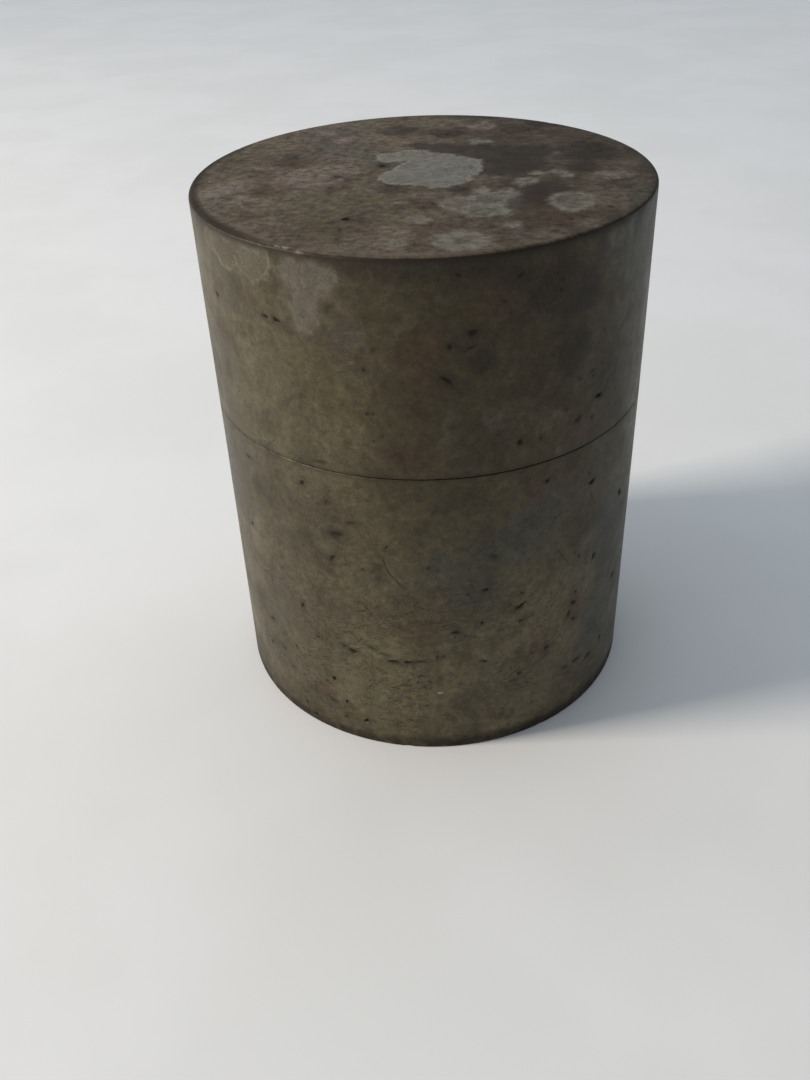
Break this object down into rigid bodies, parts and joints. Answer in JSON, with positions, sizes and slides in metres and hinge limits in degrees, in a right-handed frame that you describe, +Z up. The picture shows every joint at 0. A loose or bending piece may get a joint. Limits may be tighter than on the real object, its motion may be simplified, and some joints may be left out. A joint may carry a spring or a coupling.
{
  "type": "tea canister",
  "caption": "Upright round pewter tea canister. A deep outer lid sits flush on the body at a hairline seam, over an inner lid with a turned knob that plugs the neck.",
  "frame": {"origin": "on the canister's axis, in the plane that its foot stands on", "axes": "+Z up along the canister's axis, from the foot to the top of the outer lid; the canister is round, so +X and +Y are any two directions across it"},
  "size_m": [0.096, 0.096, 0.119],
  "materials": {
    "patinated_pewter": "cast and turned tin alloy with a dull, dark grey-brown tarnish, paler blooms and small casting pits",
    "turned_pewter": "turned tin alloy, satin and grey, less tarnished because the outer lid covers it"
  },
  "bodies": {
    "canister": {"body_wall": "patinated_pewter", "base_plate": "patinated_pewter", "neck_ring": "turned_pewter"},
    "inner_lid": {"inner_lid_plate": "turned_pewter", "inner_lid_skirt": "turned_pewter", "inner_lid_knob": "turned_pewter"},
    "outer_lid": {"lid_wall": "patinated_pewter", "lid_top_plate": "patinated_pewter"}
  },
  "joints": [
    {"name": "inner_lid_lift", "type": "slide", "parent": "canister", "child": "inner_lid", "axis": [0, 0, 1], "range_m": [0, 0.05]},
    {"name": "outer_lid_lift", "type": "slide", "parent": "inner_lid", "child": "outer_lid", "axis": [0, 0, 1], "range_m": [0, 0.1]}
  ]
}
